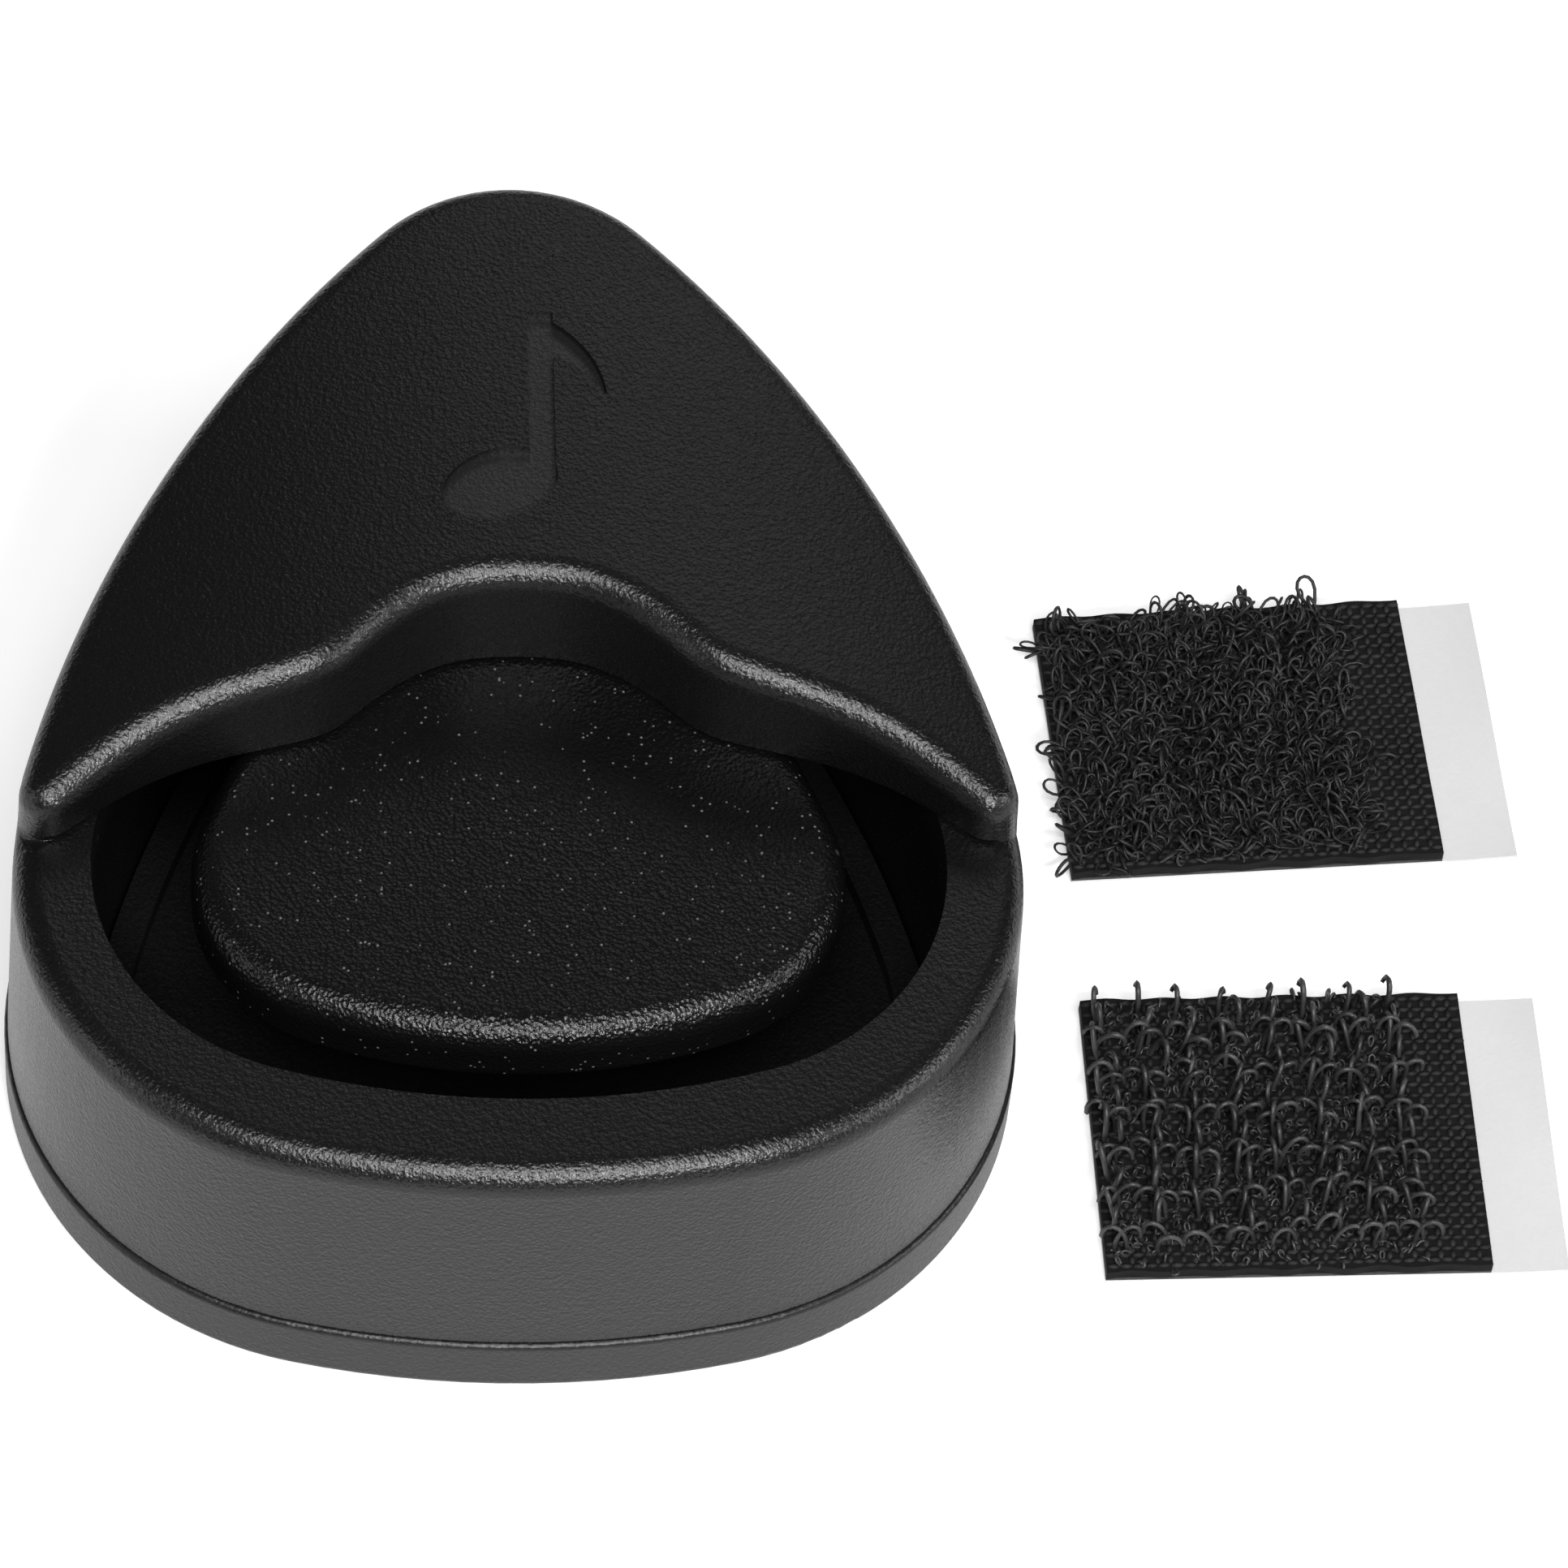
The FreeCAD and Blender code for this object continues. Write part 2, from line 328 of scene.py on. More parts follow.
def use(tree, group, place, **values):
    """Place an effect. Its inputs are given by name, with _ for each space."""
    node = add(tree, "ShaderNodeGroup", node_tree=group)
    tree.links.new(place, node.inputs["Place"])
    for key, value in values.items():
        node.inputs[key.replace("_", " ")].default_value = value
    return node.outputs


def mix(tree, factor, a, b):
    """Colour a where the factor is 0 and colour b where it is 1."""
    node = add(tree, "ShaderNodeMix", data_type="RGBA")
    sockets = {s.identifier: s for s in node.inputs}
    tree.links.new(factor, sockets["Factor_Float"])
    for key, value in (("A_Color", a), ("B_Color", b)):
        if isinstance(value, bpy.types.NodeSocket):
            tree.links.new(value, sockets[key])
        else:
            sockets[key].default_value = (*value, 1)
    return next(s for s in node.outputs if s.identifier == "Result_Color")


def grey(value):
    return (value, value, value)


def bump(tree, bsdf, height, depth):
    node = add(tree, "ShaderNodeBump", {"Height": height, "Distance": depth, "Strength": 1.0})
    tree.links.new(node.outputs[0], bsdf.inputs["Normal"])


print("material helpers ready")

# %% [markdown]
# ## The black plastics
# Shell, base plate and follower are moulded in near-black plastic. One plain material
# could serve all three, but their skins differ: the grain is finest on the shell and
# coarsest on the base plate, and the follower sparkles and reflects a little less. One
# function with grain, roughness and dust as its values makes all of them, and the dark
# glue of the tapes.

# %% The black plastics
# painted light: the note's sunk floor is a lighter grey than the shell, so that the note reads
GLINT_TONE, DUST_TONE, NOTE_PAINTED_LIGHT = 0.16, 0.3, 0.012
NOTE_MIDDLE = (0.0003, 0.0094, 0.0168)
SKIN_DARK, SKIN_LIGHT = 0.75, 1.25              # times the tone
SKIN_SMOOTHER, SKIN_ROUGHER = -0.05, 0.07       # added to the roughness


def plastic(name, tone, grains, depth, rough, sparkle=None, dusty=0.5, ior=1.5, emblem=None):
    made, tree, bsdf, place = material(name)
    skin = use(tree, GRAIN, place, Grains_per_mm=grains)
    colour = mix(tree, skin["Tone"], grey(tone * SKIN_DARK), grey(tone * SKIN_LIGHT))
    height = skin["Height"]
    smooth, coarse = rough + SKIN_SMOOTHER, rough + SKIN_ROUGHER
    roughness = ramp(tree, skin["Rough"], 0.0, 1.0, smooth, coarse)
    if sparkle:
        shine = use(tree, GLINTS, place, Cells_per_mm=sparkle["cells"], Share=sparkle["share"])
        lean = math_node(tree, "MULTIPLY", shine["Height"], sparkle["lean"])
        height = math_node(tree, "ADD", height, lean)
        colour = mix(tree, shine["Mask"], colour, grey(GLINT_TONE))
    specks = use(tree, DUST, place, Amount=dusty)
    colour = mix(tree, specks["Mask"], colour, grey(DUST_TONE))
    if emblem:
        sunk = use(tree, EMBLEM, place, **emblem)
        # painted light on the note's sunk floor
        colour = mix(tree, sunk["Mask"], colour, grey(NOTE_PAINTED_LIGHT))
    tree.links.new(colour, bsdf.inputs["Base Color"])
    tree.links.new(roughness, bsdf.inputs["Roughness"])
    bsdf.inputs["IOR"].default_value = ior
    bump(tree, bsdf, height, depth)
    return made


SHELL = plastic(
    "shell plastic", tone=0.0035, grains=7.0, depth=0.045 * MM, rough=0.27, dusty=0.08,
    emblem={"Arch_Top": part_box("housing")[1][2], "Middle": NOTE_MIDDLE},
)
BASE = plastic("base plastic", tone=0.004, grains=6.0, depth=0.03 * MM, rough=0.38, dusty=0.08)
FOLLOWER = plastic(
    "follower plastic", tone=0.003, grains=6.5, depth=0.035 * MM, rough=0.25, dusty=0.15,
    sparkle={"cells": 7.0, "share": 0.05, "lean": 0.8}, ior=1.4,
)
GLUE = plastic("adhesive", tone=0.02, grains=3.0, depth=0.03 * MM, rough=0.6)
print("plastics:", SHELL.name, BASE.name, FOLLOWER.name, GLUE.name)

# %% [markdown]
# ## Thread, paper and wire
# The tapes are black thread, but not one black: the ground cloth is the darkest and the
# dullest, the loops are softer and the stiff hooks catch the most light. The liners are
# pale paper with a slight gloss from their release coating. The spring is plain steel.

# %% Thread, paper and wire
PAPER_TONES = (0.6, 0.7)
PAPER_ROUGH = 0.42
STEEL = (0.55, 0.55, 0.56, 1)
THREAD_DARK, THREAD_LIGHT = 0.4, 1.6            # times the tone
THREAD_DEPTH, PAPER_DEPTH, WIRE_DEPTH = 0.02 * MM, 0.01 * MM, 0.004 * MM


def thread(name, tone, streaks, rough, shine=0.5):
    made, tree, bsdf, place = material(name)
    streak = use(tree, THREAD, place, Streaks_per_mm=streaks)
    colour = mix(tree, streak["Tone"], grey(tone * THREAD_DARK), grey(tone * THREAD_LIGHT))
    tree.links.new(colour, bsdf.inputs["Base Color"])
    bsdf.inputs["Roughness"].default_value = rough
    bsdf.inputs["Specular IOR Level"].default_value = shine
    bump(tree, bsdf, streak["Height"], THREAD_DEPTH)
    return made


def paper(name):
    made, tree, bsdf, place = material(name)
    fibre = use(tree, PAPER, place)
    dark, light = PAPER_TONES
    tree.links.new(mix(tree, fibre["Tone"], grey(dark), grey(light)), bsdf.inputs["Base Color"])
    bsdf.inputs["Roughness"].default_value = PAPER_ROUGH
    bump(tree, bsdf, fibre["Height"], PAPER_DEPTH)
    return made


def steel_wire(name):
    made, tree, bsdf, place = material(name)
    drawn = use(tree, WIRE, place)
    bsdf.inputs["Base Color"].default_value = STEEL
    bsdf.inputs["Metallic"].default_value = 1.0
    tree.links.new(drawn["Rough"], bsdf.inputs["Roughness"])
    bump(tree, bsdf, drawn["Height"], WIRE_DEPTH)
    return made


SPRING = steel_wire("spring wire")
GROUND = thread("woven ground", tone=0.006, streaks=6.0, rough=0.8, shine=0.15)
WEAVE = thread("weave threads", tone=0.013, streaks=9.0, rough=0.7, shine=0.3)
LOOPS = thread("loop threads", tone=0.013, streaks=12.0, rough=0.55)
HOOKS = thread("hook threads", tone=0.035, streaks=12.0, rough=0.42)
LINER = paper("liner paper")
print(len(bpy.data.materials), "materials")

# %% [markdown]
# ## Dress the CAD parts
# Shell, base plate, follower and glue are hard parts whose shape the CAD already has. They
# could be modelled again with softer edges, but the CAD's edges are rounded as they are, so
# the parts keep their meshes and only take a material.


# %% Dress the CAD parts
def dress(node, made):
    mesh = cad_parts[node].data
    mesh.materials.clear()
    mesh.materials.append(made)


dress("housing", SHELL)
dress("base_plate", BASE)
dress("follower", FOLLOWER)
dress("loop_adhesive", GLUE)
dress("hook_adhesive", GLUE)
print("shell faces:", len(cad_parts["housing"].data.polygons))

# %% [markdown]
# ## The shape of the spring
# A coil spring pushes the follower up. It could be a curve with a round bevel or a Screw
# modifier, but both make it hard to flatten the end turns. Here each ring of the tube is
# placed by a formula: the angle grows evenly, while the height eases in and out, so that
# the first and the last turn lie almost flat as on a real spring.

# %% The shape of the spring
END_FLATNESS = 0.8      # 0 climbs evenly, 1 makes the very ends level


def coil(name, radius, wire, low, high, turns=5.5, steps=36, sides=10):
    """A closed tube along a spiral: steps rings for each turn, sides points for each ring."""
    verts, faces = [], []
    full = 2 * math.pi
    count = int(turns * steps)
    for i in range(count + 1):
        share = i / count
        eased = share - END_FLATNESS * math.sin(full * share) / full
        angle = full * turns * share
        out = Vector((math.cos(angle), math.sin(angle), 0))
        centre = out * radius + Vector((0, 0, low + wire / 2 + (high - low - wire) * eased))
        for k in range(sides):
            a = full * k / sides
            verts.append(centre + wire / 2 * (out * math.cos(a) + Vector((0, 0, math.sin(a)))))
    for i in range(count):
        for k in range(sides):
            a, b = i * sides + k, i * sides + (k + 1) % sides
            faces.append((a, b, b + sides, a + sides))
    faces.append(tuple(range(sides))[::-1])
    faces.append(tuple(range(count * sides, (count + 1) * sides)))
    mesh = bpy.data.meshes.new(name)
    mesh.from_pydata(verts, [], faces)
    mesh.shade_smooth()
    mesh.materials.append(SPRING)
    made = bpy.data.objects.new(name, mesh)
    bpy.context.collection.objects.link(made)
    return made


lo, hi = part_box("follower_spring")
WIRE_THICKNESS = 0.55 * MM
radius = (hi[0] - lo[0] - WIRE_THICKNESS) / 2
spring = coil("spring_coil", radius, WIRE_THICKNESS, lo[2], hi[2])
print("spring faces:", len(spring.data.polygons))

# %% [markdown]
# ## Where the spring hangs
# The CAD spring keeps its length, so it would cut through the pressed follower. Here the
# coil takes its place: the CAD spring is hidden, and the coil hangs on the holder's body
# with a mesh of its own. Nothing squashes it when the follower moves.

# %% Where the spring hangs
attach(spring, "holder")
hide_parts("follower_spring")
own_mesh(spring)

# %% [markdown]
# ## Where each tape lies
# A tape lies a little turned on the table. Its place could be typed in, but it would be
# wrong as soon as the CAD moves. The four corners of the CAD's adhesive layer give the
# tape's middle, its turn and its size instead.


# %% Where each tape lies
class Tape:
    """The place of one tape, read from its adhesive layer, and the heights of its layers."""

    def __init__(self, kind):
        points = [v.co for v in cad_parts[f"{kind}_adhesive"].data.vertices]
        left_low = min(points, key=lambda p: p.x + p.y)
        right_low = max(points, key=lambda p: p.x - p.y)
        left_high = min(points, key=lambda p: p.x - p.y)
        centre = (right_low + left_high) / 2
        turn = math.atan2(right_low.y - left_low.y, right_low.x - left_low.x)
        self.kind = kind
        self.width = (right_low - left_low).xy.length
        self.depth = (left_high - left_low).xy.length
        self.turn = turn
        self.place = Matrix.Translation((centre.x, centre.y, 0)) @ Matrix.Rotation(turn, 4, "Z")
        self.liner_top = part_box(f"{kind}_liner")[1][2]
        self.cloth_low = max(p.z for p in points)
        self.cloth_top = self.cloth_low + CLOTH


CLOTH = 0.4 * MM        # thickness of the cloth without its pile
SELVAGE = 2.4 * MM      # plain woven band along the right edge, free of pile
TAPES = {kind: Tape(kind) for kind in ("loop", "hook")}
for tape in TAPES.values():
    size = f"{tape.width / MM:.1f} x {tape.depth / MM:.1f} mm"
    print(tape.kind, size, f"turned {math.degrees(tape.turn):.1f} degrees")

# %% [markdown]
# ## Thin closed sheets
# Cloth and paper are thin slabs. A plane with a Solidify modifier would do, but here the
# edge has to wander and the paper has to lift, so the slab is built point by point: a grid
# on top, the same grid below, and a strip round the edge that closes them. A small function
# of x and y bends it.


# %% Thin closed sheets
def slab(name, tape, x_range, low, thickness, bend, cells=(44, 38)):
    nx, ny = cells
    left, right = x_range
    verts, faces = [], []
    for side in (0, 1):
        for j in range(ny + 1):
            for i in range(nx + 1):
                x = left + (right - left) * i / nx
                y = tape.depth * (j / ny - 0.5)
                dx, dy, dz = bend(x, y, side)
                verts.append(tape.place @ Vector((x + dx, y + dy, low + thickness * side + dz)))
    row = nx + 1
    layer = row * (ny + 1)
    for j in range(ny):
        for i in range(nx):
            a = j * row + i
            faces.append((a, a + row, a + row + 1, a + 1))
            faces.append(tuple(layer + k for k in (a, a + 1, a + row + 1, a + row)))
    rim = [j * row for j in range(ny + 1)][::-1] + list(range(1, nx + 1))
    rim += [j * row + nx for j in range(1, ny + 1)] + [ny * row + i for i in range(nx - 1, 0, -1)]
    for a, b in zip(rim, rim[1:] + rim[:1]):
        faces.append((a, b, b + layer, a + layer))
    mesh = bpy.data.meshes.new(name)
    mesh.from_pydata(verts, [], faces)
    made = bpy.data.objects.new(name, mesh)
    bpy.context.collection.objects.link(made)
    return made


def finish_piece(piece, body, made, node):
    """Give a soft piece its material and its body, and hide the CAD node it stands for."""
    piece.data.materials.clear()
    piece.data.materials.append(made)
    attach(piece, body)
    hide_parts(node)


print("slab tool ready")

# %% [markdown]
# ## The ground cloth
# Under the pile of each tape lies a woven ground. Its cut edges are never quite straight
# and its surface never quite flat. A few sine waves with random lengths from a fixed seed
# give the edges their wander, which keeps the cloth the same on each run.

# %% The ground cloth
CLOTH_SEED = 15
EDGE_WANDER, EDGE_BAND = 0.10 * MM, 0.9    # only the outer tenth of the cloth wanders
CLOTH_RISE = 0.03 * MM


def cloth_bend(tape, seed):
    rng = random.Random(seed)
    waves = [(rng.uniform(0.8, 3.0), rng.uniform(0, 6.3)) for _ in range(5)]

    def bend(x, y, side):
        edge = abs(y) / (tape.depth / 2)
        near_edge = max(0.0, edge - EDGE_BAND) / (1 - EDGE_BAND)
        wander = sum(math.sin(x / MM * k + p) for k, p in waves) / len(waves)
        rise = CLOTH_RISE * side * math.sin(x / MM * 1.3) * math.sin(y / MM * 1.1)
        return 0.0, EDGE_WANDER * wander * near_edge, rise

    return bend


for kind, tape in TAPES.items():
    half = tape.width / 2
    bend = cloth_bend(tape, CLOTH_SEED)
    cloth = slab(f"{kind}_ground", tape, (-half, half), tape.cloth_low, CLOTH, bend)
    finish_piece(cloth, f"{kind}_patch", GROUND, f"{kind}_tape")
    print(kind, "cloth faces:", len(cloth.data.polygons))

# %% [markdown]
# ## One tool for everything woven
# Weave, hooks and loops are each one small shape repeated hundreds of times. They could be
# copied in a loop of the script, but Geometry Nodes do it faster and keep the sizes in one
# place. This tree takes the field, the spacing and a seed as named inputs, sets the shape
# on each point of a grid with a little disorder, and turns the copies into real mesh.

# %% A Geometry Nodes tree that repeats a shape
INTEGER = "NodeSocketInt"
FIELD_INPUTS = [
    ("Field Width", FLOAT, 10 * MM), ("Field Depth", FLOAT, 10 * MM),
    ("Columns", INTEGER, 5), ("Rows", INTEGER, 5), ("Offset", VECTOR, None),
    ("Jitter", FLOAT, 0.0), ("Turn", FLOAT, 0.0), ("Turn Spread", FLOAT, 0.0),
    ("Lean Spread", FLOAT, 0.0), ("Scale Min", FLOAT, 0.9), ("Scale Max", FLOAT, 1.1),
    ("Seed", INTEGER, 1), ("Material", "NodeSocketMaterial", None),
]
TURN_SEED_STEP, SIZE_SEED_STEP = 7.0, 13.0    # so that turn and size vary on their own


def random_vector(tree, low, high, seed):
    inputs = {0: low, 1: high, "Seed": seed}
    return add(tree, "FunctionNodeRandomValue", inputs, data_type="FLOAT_VECTOR").outputs[0]


def scattered_points(tree, given):
    """A flat grid whose points are moved a little sideways."""
    grid = add(tree, "GeometryNodeMeshGrid", {
        "Size X": given["Field Width"], "Size Y": given["Field Depth"],
        "Vertices X": given["Columns"], "Vertices Y": given["Rows"],
    })
    reach = given["Jitter"]
    back = math_node(tree, "MULTIPLY", reach, -1.0)
    low, high = vector(tree, x=back, y=back), vector(tree, x=reach, y=reach)
    stray = random_vector(tree, low, high, given["Seed"])
    moved = add(tree, "ShaderNodeVectorMath", {0: stray, 1: given["Offset"]}, operation="ADD")
    inputs = {"Geometry": grid.outputs[0], "Offset": moved.outputs[0]}
    return add(tree, "GeometryNodeSetPosition", inputs).outputs[0]


def random_turn(tree, given):
    lean, turn, spread = given["Lean Spread"], given["Turn"], given["Turn Spread"]
    back = math_node(tree, "MULTIPLY", lean, -1.0)
    least = vector(tree, x=back, y=back, z=math_node(tree, "SUBTRACT", turn, spread))
    most = vector(tree, x=lean, y=lean, z=math_node(tree, "ADD", turn, spread))
    seed = math_node(tree, "ADD", given["Seed"], TURN_SEED_STEP)
    return random_vector(tree, least, most, seed)


def random_size(tree, given):
    seed = math_node(tree, "ADD", given["Seed"], SIZE_SEED_STEP)
    inputs = {2: given["Scale Min"], 3: given["Scale Max"], "Seed": seed}
    return add(tree, "FunctionNodeRandomValue", inputs, data_type="FLOAT").outputs[1]


def scatter_group(name, build_shape, shape_inputs):
    tree, given, result = new_group(
        name, GEOMETRY, FIELD_INPUTS + shape_inputs, [("Geometry", "NodeSocketGeometry")],
    )
    placed = add(tree, "GeometryNodeInstanceOnPoints", {
        "Points": scattered_points(tree, given), "Instance": build_shape(tree, given),
        "Rotation": random_turn(tree, given), "Scale": random_size(tree, given),
    })
    real = add(tree, "GeometryNodeRealizeInstances", {"Geometry": placed.outputs[0]})
    smooth = add(tree, "GeometryNodeSetShadeSmooth", {"Geometry": real.outputs[0]})
    inputs = {"Geometry": smooth.outputs[0], "Material": given["Material"]}
    painted = add(tree, "GeometryNodeSetMaterial", inputs)
    tree.links.new(painted.outputs[0], result["Geometry"])
    return tree


print("field inputs:", [name for name, _, _ in FIELD_INPUTS])

# %% [markdown]
# ## The three small shapes
# A weave shows the bump of each thread where it comes up. A hook is a stiff bristle that
# bends over, and a loop is a soft thread that comes back to the cloth. Hooks and loops
# could be hair, but the export keeps only mesh. Each is a short curve with a thin square
# profile, because a shape repeated hundreds of times has to have few faces.


# %% The three small shapes
HOOK_HANDLES, HOOK_TIP = 1.45, 0.62     # heights of the handles and the tip, in hooks
LOOP_RISE, LOOP_CROSS = 2.6, 1.7        # height and reach of the handles, in radii
LOOP_TWIST, LOOP_FOOT = 0.5, 0.35       # how far the thread ends beside its start, in radii


def bead(tree, given):
    """One thread where it comes up through the weave: a stretched ball."""
    ball = add(tree, "GeometryNodeMeshIcoSphere", {"Radius": 1.0, "Subdivisions": 1})
    size = vector(tree, x=given["Half Length"], y=given["Half Width"], z=given["Half Height"])
    inputs = {"Geometry": ball.outputs[0], "Scale": size}
    return add(tree, "GeometryNodeTransform", inputs).outputs[0]


def strand(tree, given, steps, start_handle, end_handle, end):
    """A thread that leaves the cloth at 0 and bends towards its two handles."""
    line = add(tree, "GeometryNodeCurvePrimitiveBezierSegment", {
        "Resolution": steps, "Start": (0, 0, 0),
        "Start Handle": start_handle, "End Handle": end_handle, "End": end,
    })
    inputs = {"Resolution": 4, "Radius": given["Thread Radius"]}
    ring = add(tree, "GeometryNodeCurvePrimitiveCircle", inputs)
    inputs = {"Curve": line.outputs[0], "Profile Curve": ring.outputs[0], "Fill Caps": True}
    return add(tree, "GeometryNodeCurveToMesh", inputs).outputs[0]


def hook(tree, given):
    """A stiff bristle that rises, bends over and points back down."""
    high, out = given["Hook Height"], given["Hook Reach"]
    tall = math_node(tree, "MULTIPLY", high, HOOK_HANDLES)
    down = math_node(tree, "MULTIPLY", high, HOOK_TIP)
    return strand(tree, given, 9, vector(tree, z=tall), vector(tree, x=out, z=tall),
                  vector(tree, x=out, z=down))


def loop(tree, given):
    """A soft thread that rises, crosses itself and comes back to the cloth."""
    def times(factor):
        return math_node(tree, "MULTIPLY", given["Loop Radius"], factor)

    rise = times(LOOP_RISE)
    first = vector(tree, x=times(LOOP_CROSS), z=rise)
    second = vector(tree, x=times(-LOOP_CROSS), y=times(LOOP_TWIST), z=rise)
    return strand(tree, given, 11, first, second, vector(tree, x=times(LOOP_FOOT)))


BEADS = scatter_group("Weave beads", bead, [
    ("Half Length", FLOAT, 0.22 * MM), ("Half Width", FLOAT, 0.12 * MM),
    ("Half Height", FLOAT, 0.09 * MM)])
HOOK_ROWS = scatter_group("Rows of hooks", hook, [
    ("Hook Height", FLOAT, 1.15 * MM), ("Hook Reach", FLOAT, 0.9 * MM),
    ("Thread Radius", FLOAT, 0.1 * MM)])
LOOP_FIELD = scatter_group("Field of loops", loop, [
    ("Loop Radius", FLOAT, 0.5 * MM), ("Thread Radius", FLOAT, 0.05 * MM)])
print("groups:", BEADS.name, HOOK_ROWS.name, LOOP_FIELD.name)

# %% [markdown]
# ## Turn a tree into a plain mesh
# A Geometry Nodes modifier makes its mesh only when Blender evaluates the object, and the
# export wants a plain one. Applying the modifier would need the object selected and active.
# It is simpler to evaluate a throwaway object once and to keep a copy of what it grew. The
# inputs are found by name and set by their identifier. Several passes with different seeds
# join into one piece.


# %% Turn a tree into a plain mesh
def grow(group, values):
    """The mesh that the tree makes with these named inputs."""
    seedling = bpy.data.objects.new("seedling", bpy.data.meshes.new("seedling"))
    bpy.context.collection.objects.link(seedling)
    modifier = seedling.modifiers.new("grow", "NODES")
    modifier.node_group = group
    for item in group.interface.items_tree:
        if item.in_out == "INPUT" and item.name in values:
            modifier[item.identifier] = values[item.name]
    seen = seedling.evaluated_get(bpy.context.evaluated_depsgraph_get())
    mesh = bpy.data.meshes.new_from_object(seen)
    bpy.data.objects.remove(seedling)
    return mesh


def grown_piece(name, tape, z, passes):
    """Several passes joined into one object, laid at the height z on the tape."""
    parts = []
    for group, values in passes:
        part = bpy.data.objects.new(name, grow(group, values))
        bpy.context.collection.objects.link(part)
        parts.append(part)
    with bpy.context.temp_override(active_object=parts[0], selected_editable_objects=parts):
        bpy.ops.object.join()
    whole = parts[0]
    whole.data.transform(tape.place @ Matrix.Translation((0, 0, z)))
    return whole


print("grower ready")

# %% [markdown]
# ## The weave
# The plain edge of each tape shows its weave: threads that run across with shorter ones
# between them. A picture of cloth or a bump would look flat from the side, so each thread
# is a real bead. Two passes fit into each other like the two colours of a chessboard.

# %% The weave
WEAVE_STEP = 0.45 * MM
for kind, tape in TAPES.items():
    columns, rows = int(tape.width / WEAVE_STEP), int(tape.depth / WEAVE_STEP)
    across = {
        "Field Width": tape.width - WEAVE_STEP, "Field Depth": tape.depth - WEAVE_STEP,
        "Columns": columns, "Rows": rows, "Seed": 3, "Material": WEAVE,
        "Jitter": 0.02 * MM, "Turn Spread": 0.08,
        "Half Length": 0.24 * MM, "Half Width": 0.11 * MM, "Half Height": 0.10 * MM,
    }
    along = {
        **across, "Columns": columns - 1, "Rows": rows - 1, "Seed": 5,
        "Field Width": tape.width - 2 * WEAVE_STEP, "Field Depth": tape.depth - 2 * WEAVE_STEP,
        "Half Length": 0.12 * MM, "Half Width": 0.2 * MM, "Half Height": 0.12 * MM,
    }
    weave = grown_piece(f"{kind}_weave", tape, tape.cloth_top, [(BEADS, across), (BEADS, along)])
    finish_piece(weave, f"{kind}_patch", WEAVE, f"{kind}_tape")
    print(kind, "weave faces:", len(weave.data.polygons))

# %% [markdown]
# ## The hooks
# The stiff tape carries rows of bristles out of a bed of short curls. Rows that bend
# sideways take turns with rows that bend forwards, and half of the hooks in each look the
# other way. Four passes, one for each direction, are easier to read than one tree with a
# rule for all four. The curls are small loops in the same thread.

# %% The hooks
ROOT = 0.1 * MM              # threads start this far inside the cloth
PILE_OFFSET = Vector((-(SELVAGE - 0.1 * MM) / 2, 0, 0))    # keeps the right edge free
SIDE_MARGIN, HOOK_MARGIN, CURL_MARGIN = 0.7 * MM, 3.0 * MM, 0.8 * MM
STEP_ASIDE = Vector((0.3 * MM, 0.15 * MM, 0))    # between hooks that look opposite ways
HOOK_PASSES = (
    # turn, place along the depth, seed
    (0.0, -0.6 * MM, 20),
    (math.pi / 2, 0.65 * MM, 22),
)
hook_tape = TAPES["hook"]
field = hook_tape.width - SELVAGE - SIDE_MARGIN
all_hooks = {
    "Field Width": field, "Field Depth": hook_tape.depth - HOOK_MARGIN,
    "Columns": 8, "Rows": 6, "Turn Spread": 0.35, "Lean Spread": 0.2, "Jitter": 0.12 * MM,
    "Material": HOOKS,
}
passes = []
for turn, y, seed in HOOK_PASSES:
    for other_way in (0, 1):
        moved = Vector((0, y, 0)) + STEP_ASIDE * other_way
        passes.append((HOOK_ROWS, {
            **all_hooks, "Turn": turn + math.pi * other_way, "Seed": seed + other_way,
            "Offset": PILE_OFFSET + moved,
        }))
passes.append((LOOP_FIELD, {
    "Field Width": field, "Field Depth": hook_tape.depth - CURL_MARGIN,
    "Columns": 30, "Rows": 26, "Offset": PILE_OFFSET, "Jitter": 0.2 * MM,
    "Turn Spread": math.pi, "Lean Spread": 1.2, "Seed": 29,
    "Loop Radius": 0.24 * MM, "Thread Radius": 0.05 * MM, "Material": HOOKS,
}))
hooks = grown_piece("hook_pile", hook_tape, hook_tape.cloth_top - ROOT, passes)
finish_piece(hooks, "hook_patch", HOOKS, "hook_tape")
print("hook faces:", len(hooks.data.polygons))

# %% [markdown]
# ## The loops
# The soft tape is a tangle of fine loops that lean every way. One pass looks like a
# planted field, so three passes of different size and lean are laid over each other until
# no row can be seen. Both kinds of pile stop short of the plain woven edge.

# %% The loops
LOOP_SIDE_MARGIN, LOOP_MARGIN = 0.9 * MM, 1.3 * MM
LOOP_PASSES = (
    # seed, radius in mm, columns, rows, lean
    (31, 0.62, 26, 21, 1.2),
    (32, 0.72, 21, 17, 1.35),
    (33, 0.5, 18, 16, 0.8),
)
loop_tape = TAPES["loop"]
all_loops = {
    "Field Width": loop_tape.width - SELVAGE - LOOP_SIDE_MARGIN,
    "Field Depth": loop_tape.depth - LOOP_MARGIN, "Offset": PILE_OFFSET,
    "Jitter": 0.4 * MM, "Turn Spread": math.pi, "Scale Min": 0.7, "Scale Max": 1.25,
    "Thread Radius": 0.055 * MM, "Material": LOOPS,
}
passes = [
    (LOOP_FIELD, {
        **all_loops, "Seed": seed, "Loop Radius": radius * MM, "Columns": columns, "Rows": rows,
        "Lean Spread": lean,
    })
    for seed, radius, columns, rows, lean in LOOP_PASSES
]
loops = grown_piece("loop_pile", loop_tape, loop_tape.cloth_top - ROOT, passes)
finish_piece(loops, "loop_patch", LOOPS, "loop_tape")
